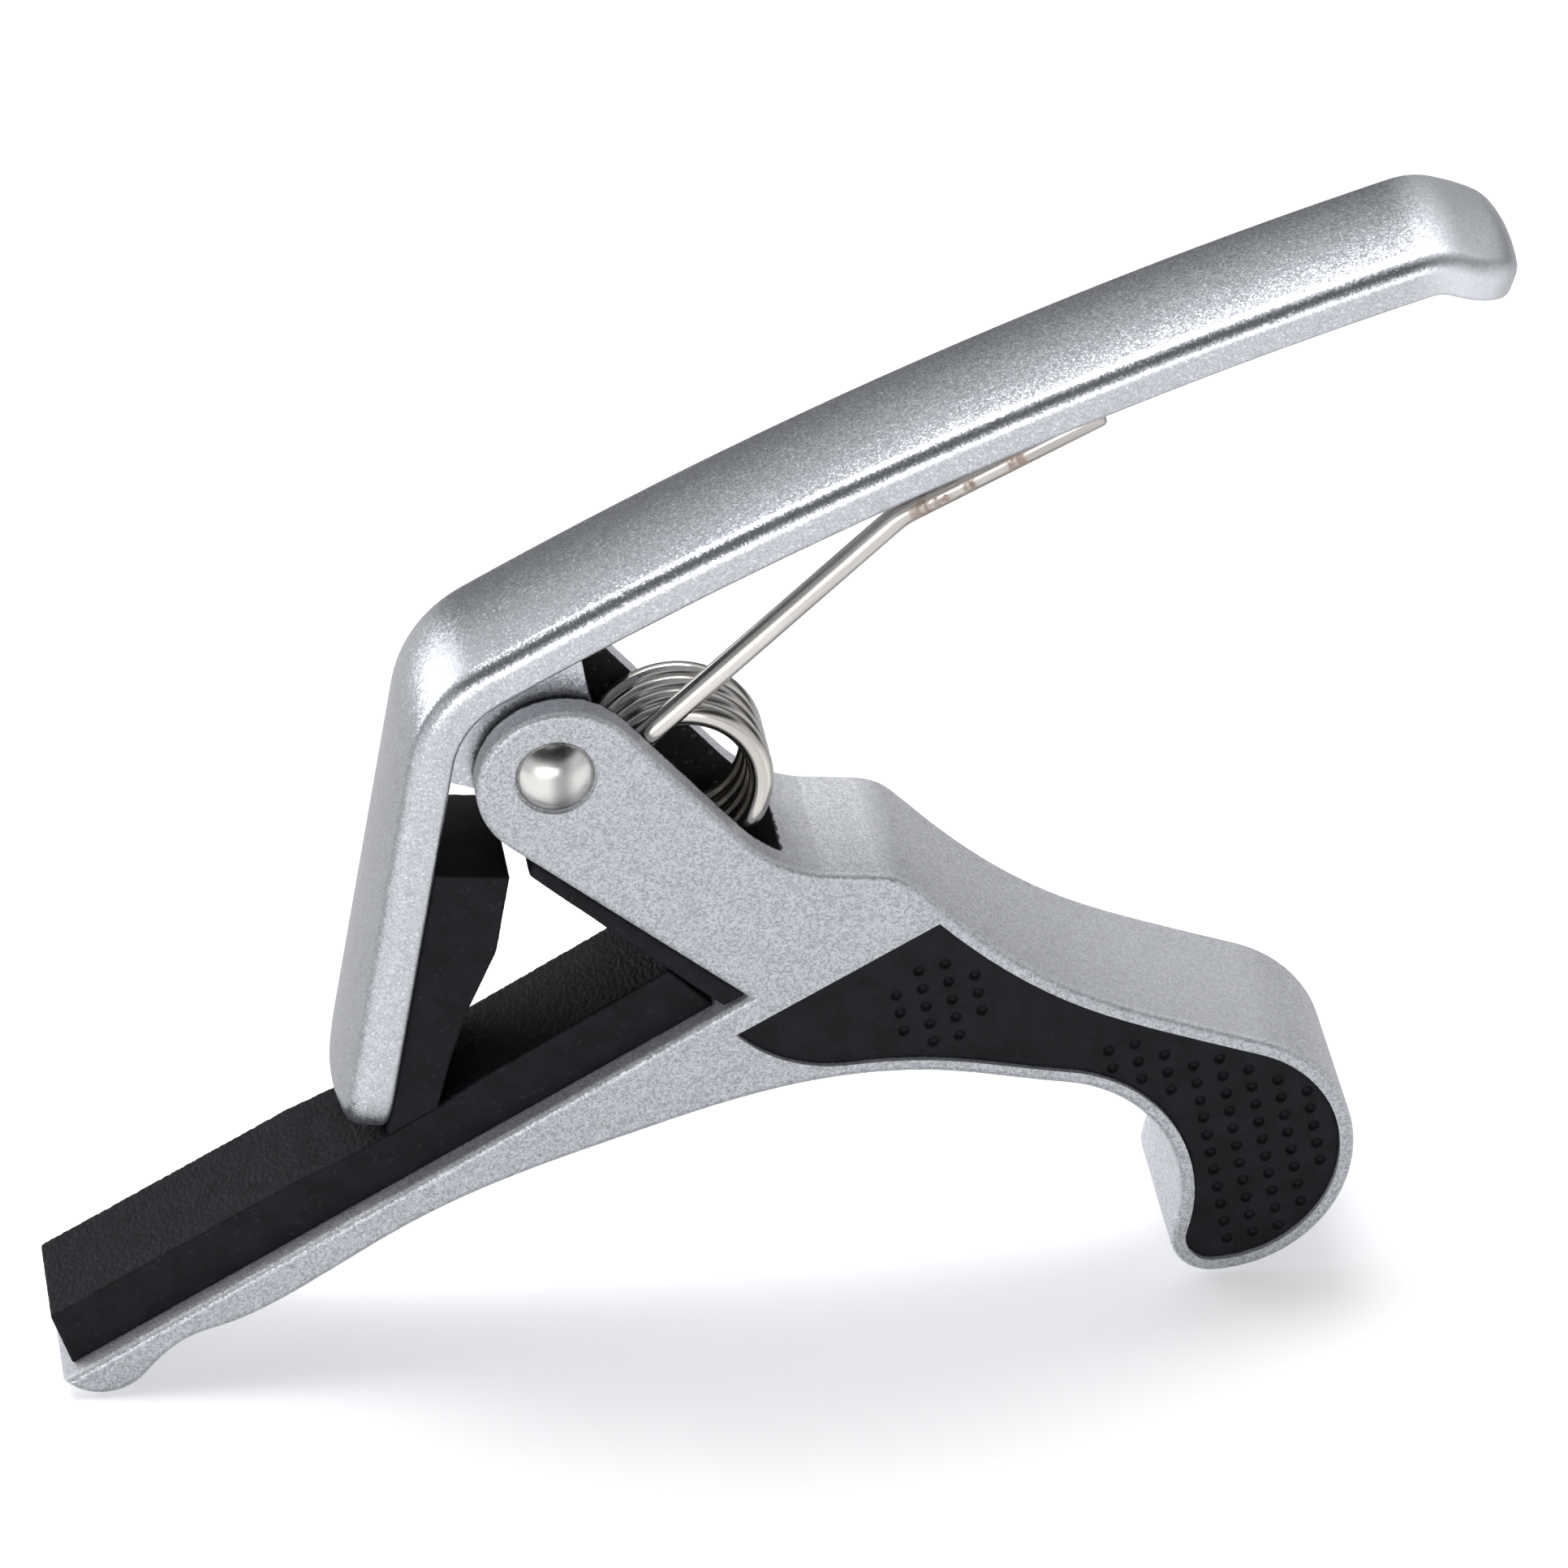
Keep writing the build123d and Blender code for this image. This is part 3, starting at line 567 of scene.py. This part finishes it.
def lever_path():
    """The lever's inner side, from the jaw's end round the elbow and out to the turned-down tip."""
    centre = Vector(ELBOW_MM)
    elbow_low = centre + flat(JAW_HEADING - math.pi / 2) * ELBOW_RADIUS_MM
    jaw_length = (JAW_END_MM - elbow_low.y) / math.sin(JAW_HEADING)
    jaw = line(elbow_low + flat(JAW_HEADING) * jaw_length, JAW_HEADING - math.pi, jaw_length)
    elbow_turn = HANDLE_START + math.pi - JAW_HEADING
    elbow = arc(centre, ELBOW_RADIUS_MM, JAW_HEADING - math.pi / 2, elbow_turn)
    elbow_end = centre + flat(HANDLE_START + math.pi / 2) * ELBOW_RADIUS_MM
    chord = Vector(HANDLE_END_MM) - elbow_end
    turn = HANDLE_START - math.atan2(chord.y, chord.x)
    radius = chord.length / (2 * math.sin(turn))
    handle_centre = elbow_end - flat(HANDLE_START + math.pi / 2) * radius
    handle = arc(handle_centre, radius, HANDLE_START + math.pi / 2, -2 * turn)
    slope = HANDLE_START - 2 * turn
    bend_centre = Vector(HANDLE_END_MM) - flat(slope + math.pi / 2) * TIP_BEND_RADIUS_MM
    bend = arc(bend_centre, TIP_BEND_RADIUS_MM, slope + math.pi / 2, -TIP_BEND)
    tip_start = bend_centre + flat(slope - TIP_BEND + math.pi / 2) * TIP_BEND_RADIUS_MM
    return jaw, elbow, handle, bend, line(tip_start, slope - TIP_BEND, TIP_LENGTH_MM)


def lever_section():
    """Points round the lever's section: across, and out from its flat inner side."""
    crown = (LEVER_HALF_MM**2 + LEVER_CROWN_MM**2) / (2 * LEVER_CROWN_MM)
    crown_low = LEVER_EDGE_MM + LEVER_CROWN_MM - crown
    across = LEVER_HALF_MM - LEVER_OUTER_ROUND_MM
    height = crown_low + math.sqrt((crown - LEVER_OUTER_ROUND_MM) ** 2 - across**2)
    meet = math.atan2(height - crown_low, across)
    inner = LEVER_HALF_MM - LEVER_INNER_ROUND_MM
    right = [Vector((inner * k / SMALL_STEPS, 0)) for k in range(SMALL_STEPS)]
    for k in range(SMALL_STEPS + 1):
        angle = -math.pi / 2 + math.pi / 2 * k / SMALL_STEPS
        right.append(Vector((inner, LEVER_INNER_ROUND_MM)) + flat(angle) * LEVER_INNER_ROUND_MM)
    right.append(Vector((LEVER_HALF_MM, (LEVER_INNER_ROUND_MM + height) / 2)))
    for k in range(ROUND_STEPS + 1):
        right.append(Vector((across, height)) + flat(meet * k / ROUND_STEPS) * LEVER_OUTER_ROUND_MM)
    for k in range(1, ROUND_STEPS + 1):
        angle = meet + (math.pi / 2 - meet) * k / ROUND_STEPS
        right.append(Vector((0, crown_low)) + flat(angle) * crown)
    left = [Vector((-point.x, point.y)) for point in reversed(right[1:-1])]
    return right + left


def drawn_in(radius, distance):
    """How far a rounded corner has drawn in at a distance from the end."""
    if distance >= radius:
        return 0.0
    return radius - math.sqrt(radius**2 - (radius - distance) ** 2)


def stations(length, lengths):
    """Distances along the lever to put sections at: close together at the ends and in the bends."""
    marks = [0.0]
    for stretch, step in zip(lengths, LEVER_STEPS_MM):
        count = max(2, round(stretch / step))
        start = marks[-1]
        marks += [start + stretch * (k + 1) / count for k in range(count)]
    ends = [math.pi / 2 * k / ROUND_STEPS for k in range(1, ROUND_STEPS + 1)]
    close = [END_CORNER_MM * (1 - math.cos(angle)) for angle in ends]
    inside = [mark for mark in marks if END_CORNER_MM < mark < length - END_CORNER_MM]
    return sorted([0.0, length] + inside + close + [length - mark for mark in close])


def tube(rings, around):
    """Faces between rings of vertices, and a face over each end."""
    faces = []
    for ring in range(rings - 1):
        low = ring * around
        high = low + around
        for k in range(around):
            ahead = (k + 1) % around
            faces.append((low + k, low + ahead, high + ahead, high + k))
    faces.append(tuple(reversed(range(around))))
    faces.append(tuple(range((rings - 1) * around, rings * around)))
    return faces


def lever_bar():
    """The lever's bent bar as rings of vertices closed at both ends."""
    path = lever_path()
    lengths = [stretch for stretch, _ in path]
    length = sum(lengths)
    section = lever_section()
    thick = LEVER_EDGE_MM + LEVER_CROWN_MM
    bar_up = flat(BAR_SLOPE + math.pi / 2)
    pivot = PIVOT / MM
    vertices = []
    for mark in stations(length, lengths):
        rest = mark
        index = 0
        while index < len(path) - 1 and rest > lengths[index]:
            rest -= lengths[index]
            index += 1
        middle, angle = path[index][1](rest)
        end = min(mark, length - mark)
        narrow = 1 - drawn_in(END_CORNER_MM, end) / LEVER_HALF_MM
        low = drawn_in(END_EDGES_MM[1], end)
        high = thick - drawn_in(END_EDGES_MM[0], end)
        for point in section:
            out = low + point.y * (high - low) / thick
            at = middle + flat(angle + math.pi / 2) * out
            sunk = CLOSED_FACE_MM - (at - Vector(CORNER_MM)).dot(bar_up)
            if sunk > 0 and index == 0:
                at = at + bar_up * sunk
            vertices.append(Vector((pivot.x + at.x, pivot.y + point.x * narrow, pivot.z + at.y)) * MM)
    return vertices, tube(len(vertices) // len(section), len(section))


def boss_loops():
    """Outline of the web and boss inside the elbow, from the pivot, and of the bore through it."""
    elbow = Vector(ELBOW_MM)
    root = ELBOW_RADIUS_MM + LEVER_INNER_ROUND_MM
    outline = [elbow + flat(JAW_HEADING - math.pi / 2) * root + flat(JAW_HEADING) * WEB_START_MM]
    for k in range(BOSS_STEPS + 1):
        angle = BOSS_START + (BOSS_END - BOSS_START) * k / BOSS_STEPS
        outline.append(flat(angle) * BOSS_RADIUS_MM)
    outline += [Vector(point) for point in WEB_FRONT_MM]
    outline += [elbow + flat(angle) * root for angle in WEB_BACK]
    bore = [flat(2 * math.pi * k / BORE_STEPS) * BORE_MM for k in range(BORE_STEPS)]
    return outline, bore


def lever_boss():
    """The web and boss as a plate with the bore through it, closed on all sides."""
    loops = boss_loops()
    corners = [corner for loop in loops for corner in loop]
    count = len(corners)
    pivot = PIVOT / MM
    vertices = []
    for side in (-1, 1):
        across = pivot.y + side * BOSS_HALF_MM
        vertices += [Vector((pivot.x + corner.x, across, pivot.z + corner.y)) * MM for corner in corners]
    faces = []
    for near_side in tessellate_polygon([[corner.to_3d() for corner in loop] for loop in loops]):
        faces.append(tuple(near_side))
        faces.append(tuple(index + count for index in reversed(near_side)))
    start = 0
    for loop in loops:
        for k in range(len(loop)):
            here = start + k
            ahead = start + (k + 1) % len(loop)
            faces.append((here, ahead, ahead + count, here + count))
        start += len(loop)
    solid = bmesh.new()
    made = [solid.verts.new(vertex) for vertex in vertices]
    for face in faces:
        solid.faces.new([made[index] for index in face])
    bmesh.ops.recalc_face_normals(solid, faces=solid.faces)
    faces = [tuple(made.index(vertex) for vertex in face.verts) for face in solid.faces]
    solid.free()
    return vertices, faces


def cast_lever(material):
    """The bar and the boss as one piece: the bar's two ends and the boss are flat shaded."""
    vertices, faces = lever_bar()
    boss_vertices, boss_faces = lever_boss()
    count = len(vertices)
    faces += [tuple(index + count for index in face) for face in boss_faces]
    piece = new_piece("cast_lever", material, vertices + boss_vertices, faces)
    bar_ends = 2
    first_flat = len(faces) - len(boss_faces) - bar_ends
    for polygon in piece.data.polygons:
        polygon.use_smooth = polygon.index < first_flat
    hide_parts("lever")
    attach(piece, "lever")


# ---- spring ---------------------------------------------------------------------------------
WIRE_SIDES = 24
LEG_STEP_MM = 0.5                                           # between points on the upper leg
BEND_STEPS = 10
TURN_STEPS = 72
LOWER_LEG_STEPS = 12
CUT_MM = 0.35                                               # length of the rounding at the cut ends
CUT_ROUND = ((0.0, 0.55), (0.12, 0.86), (CUT_MM, 1.0))      # distance from the end, share of the radius


def spring_path():
    """Middle of the wire from the upper leg's end, through the coil, to the lower leg's end."""
    near = -COIL_TURNS * TURN_PITCH_MM / 2
    first = UPPER_LEG + math.pi / 2
    start = COIL / MM + direction(first) * COIL_RADIUS_MM + Vector((0, near, 0))
    bend = start + direction(UPPER_LEG) * UPPER_LEG_MM
    tip = bend + direction(LEG_END) * LEG_END_MM
    turn = UPPER_LEG - LEG_END
    cut = LEG_BEND_MM * math.tan(turn / 2)
    centre = bend - direction(UPPER_LEG) * cut + direction(UPPER_LEG - math.pi / 2) * LEG_BEND_MM

    def straight(here, there):
        count = max(2, int((there - here).length / LEG_STEP_MM))
        return [here.lerp(there, k / count) for k in range(count)]

    path = straight(tip, bend + direction(LEG_END) * cut)
    for k in range(BEND_STEPS):
        angle = LEG_END + math.pi / 2 + turn * k / BEND_STEPS
        path.append(centre + direction(angle) * LEG_BEND_MM)
    path += straight(bend - direction(UPPER_LEG) * cut, start)
    steps = int(COIL_TURNS * TURN_STEPS)
    for k in range(steps + 1):
        part = k / steps
        angle = first + part * COIL_TURNS * 2 * math.pi
        middle = COIL / MM + Vector((0, near + part * COIL_TURNS * TURN_PITCH_MM, 0))
        path.append(middle + direction(angle) * COIL_RADIUS_MM)
    leave = direction(first + COIL_TURNS * 2 * math.pi + math.pi / 2)
    path += [path[-1] + leave * (LOWER_LEG_MM * (k + 1) / LOWER_LEG_STEPS) for k in range(LOWER_LEG_STEPS)]
    return path


def wire_rings():
    """Rings round the wire: the middle, heading, share of the radius and distance along the wire of each."""
    path = spring_path()
    last = len(path) - 1
    along = 0.0
    rings = []
    for k, point in enumerate(path):
        if k:
            along += (point - path[k - 1]).length
        heading = (path[min(k + 1, last)] - path[max(k - 1, 0)]).normalized()
        rings.append((point, heading, 1.0, along))
    tip, tip_heading, _, _ = rings[0]
    end, end_heading, _, length = rings[-1]
    head = [(tip + tip_heading * off, tip_heading, share, off) for off, share in CUT_ROUND]
    tail = [(end - end_heading * off, end_heading, share, length - off) for off, share in reversed(CUT_ROUND)]
    return head + [ring for ring in rings if CUT_MM < ring[3] < length - CUT_MM] + tail


def spring(material):
    """One wire from the upper leg's end, through the coil, to the lower leg's end, shown in place of the CAD
    coil and upper leg.
    """
    rings = wire_rings()
    vertices, along, around = [], [], []
    for middle, ahead, share, length in rings:
        out = ahead.cross(Vector((0, 1, 0))).normalized()
        up = out.cross(ahead)
        for k in range(WIRE_SIDES):
            angle = -2 * math.pi * k / WIRE_SIDES
            offset = (out * math.cos(angle) + up * math.sin(angle)) * WIRE_MM * share
            vertices.append((middle + offset) * MM)
            along.append(length)
            around.append(math.sin(angle) * 2)
    piece = new_piece("torsion_spring", material, vertices, tube(len(rings), WIRE_SIDES))
    for name, values in (("along", along), ("around", around)):
        piece.data.attributes.new(name, "FLOAT", "POINT").data.foreach_set("value", values)
    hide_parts("spring_coil", "spring_upper_leg")
    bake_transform(piece)


# ---- pieces ---------------------------------------------------------------------------------
def stand_in(name, node, material, slot, body, cell_mm, round_mm, grain):
    """A piece shown in place of a CAD node."""
    piece = recut(name, node, material, cell_mm, round_mm, grain)
    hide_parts(node)
    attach(piece, body)


def dress(node, material):
    """Gives a CAD node its finish."""
    shown = frame["nodes"][node]
    shown.data.materials.clear()
    shown.data.materials.append(material)


dress("frame", frame_look())
dress("pivot_rivet", rivet_look())
dress("pivot_washers", nylon_look())
cast_lever(lever_look())

pad_rubber = rubber_look("pad_rubber", PAD_COLOUR, grain=0.16, dust=0.05)
inlay_rubber = rubber_look("inlay_rubber", INLAY_COLOUR, grain=0.3, dust=0.02)
PAD = (pad_rubber, "black_rubber_pad")
INLAY = (inlay_rubber, "black_rubber_inlay")
stand_in("string_bar", "string_pad", *PAD, "base", cell_mm=0.14, round_mm=0.12, grain=pebbles)
stand_in("corner_strip", "edge_pad", *PAD, "base", cell_mm=0.2, round_mm=0.25, grain=faint_waves)
stand_in("jaw_cushion", "jaw_pad", *PAD, "lever", cell_mm=0.2, round_mm=0.25, grain=faint_waves)
for name, node, side in (("front_inlay", "front_grip_inlay", -1), ("rear_inlay", "rear_grip_inlay", 1)):
    stand_in(name, node, *INLAY, "base", cell_mm=0.13, round_mm=0.1, grain=dimples(side))
spring(wire_look())


# ---- studio ---------------------------------------------------------------------------------
FLOOR_HALF = 3.0
HORIZON_GLOW = 0.08             # strengths of the world's light: behind the part near the horizon
OVERHEAD_GLOW = 0.85
FRONT_GLOW = 0.8                # low in front
GAP_GLOW = 0.06                 # between the front's glow and the one overhead
LEFT_GLOW = 2.9                 # a bright patch behind on the left
TOWARD_LEFT_PATCH = (-0.77, 0.62, 0.15)
PALE_BACKDROP = 0.97            # what the camera sees behind the floor
WORLD_TINT = (0.965, 0.975, 1.0)
MIDDLE = Vector((0, 0, 0.045))  # the lamps point here
VIEW_SIDE = math.radians(-6.7)  # the camera looks from this far to the left of straight ahead
VIEW_DOWN = math.radians(31)    # and down at this angle
VIEW_LEAN = math.radians(3)     # and the whole view is turned by this about the Y axis
VIEW_DISTANCE = 0.88
NEAR_FACE = PIVOT + Vector((0, -8 * MM, 0))
AIM_RIGHT = 0.0206              # slope of the aim to the right of NEAR_FACE, and down from it
AIM_DOWN = 0.0005
LENS = 254.2


def floor():
    corners = [(-FLOOR_HALF, -FLOOR_HALF, 0), (FLOOR_HALF, -FLOOR_HALF, 0)]
    corners += [(FLOOR_HALF, FLOOR_HALF, 0), (-FLOOR_HALF, FLOOR_HALF, 0)]
    new_piece("floor", floor_look(), corners, [(0, 1, 2, 3)])


def panel_light(name, place, width, height, power):
    """A white rectangular lamp that points at the part's middle."""
    light = bpy.data.lights.new(name, "AREA")
    light.shape = "RECTANGLE"
    light.size = width
    light.size_y = height
    light.energy = power
    lamp = bpy.data.objects.new(name, light)
    bpy.context.scene.collection.objects.link(lamp)
    lamp.location = place
    lamp.rotation_euler = (MIDDLE - Vector(place)).to_track_quat("-Z", "Y").to_euler()


def world():
    """A soft studio: bright overhead, low in front and behind on the left, dark near the horizon behind."""
    made = bpy.data.worlds.new("studio")
    made.use_nodes = True
    nodes = Nodes(made.node_tree)
    toward = nodes.node("ShaderNodeTexCoord").outputs["Generated"]
    depth = nodes.axis(toward, 1)
    height = nodes.axis(toward, 2)
    behind = nodes.fade(height, 0.12, 0.8, HORIZON_GLOW, OVERHEAD_GLOW)
    low_front = nodes.fade(height, 0.35, 0.6, FRONT_GLOW, GAP_GLOW)
    front = nodes.blend(nodes.fade(height, 0.86, 0.96), low_front, OVERHEAD_GLOW)
    strength = nodes.blend(nodes.fade(depth, -0.12, 0.12), front, behind)
    left = nodes.fade(nodes.dot(toward, TOWARD_LEFT_PATCH), 0.88, 0.97)
    strength = nodes.blend(left, strength, LEFT_GLOW)
    seen = nodes.node("ShaderNodeLightPath").outputs["Is Camera Ray"]
    background = nodes.tree.nodes["Background"]
    nodes.feed(background.inputs["Strength"], nodes.blend(seen, strength, PALE_BACKDROP))
    nodes.feed(background.inputs["Color"], WORLD_TINT)
    bpy.context.scene.world = made


def camera():
    """Looks down at the part from in front, from the angles above."""
    forward = Vector((-math.sin(VIEW_SIDE), math.cos(VIEW_SIDE), 0))
    lean = Matrix.Rotation(VIEW_LEAN, 3, "Y")
    right = lean @ Vector((math.cos(VIEW_SIDE), math.sin(VIEW_SIDE), 0))
    away = lean @ (forward * math.cos(VIEW_DOWN) - Vector((0, 0, math.sin(VIEW_DOWN))))
    up = right.cross(away)
    eye = NEAR_FACE - away * VIEW_DISTANCE
    away = (away + right * AIM_RIGHT - up * AIM_DOWN).normalized()
    right = (right - away * right.dot(away)).normalized()
    up = right.cross(away)
    data = bpy.data.cameras.new("photo_view")
    data.lens = LENS
    data.clip_start = 0.05
    made = bpy.data.objects.new("photo_view", data)
    bpy.context.scene.collection.objects.link(made)
    turn = Matrix((right, up, -away)).transposed()
    made.matrix_world = Matrix.Translation(eye) @ turn.to_4x4()
    bpy.context.scene.camera = made


floor()
world()
panel_light("key_above", (-0.08, 0.22, 0.62), width=0.6, height=0.32, power=2.6)
panel_light("front_low", (-0.25, -0.85, 0.16), width=0.8, height=0.25, power=2.4)
camera()
bpy.context.scene.view_settings.view_transform = "Standard"
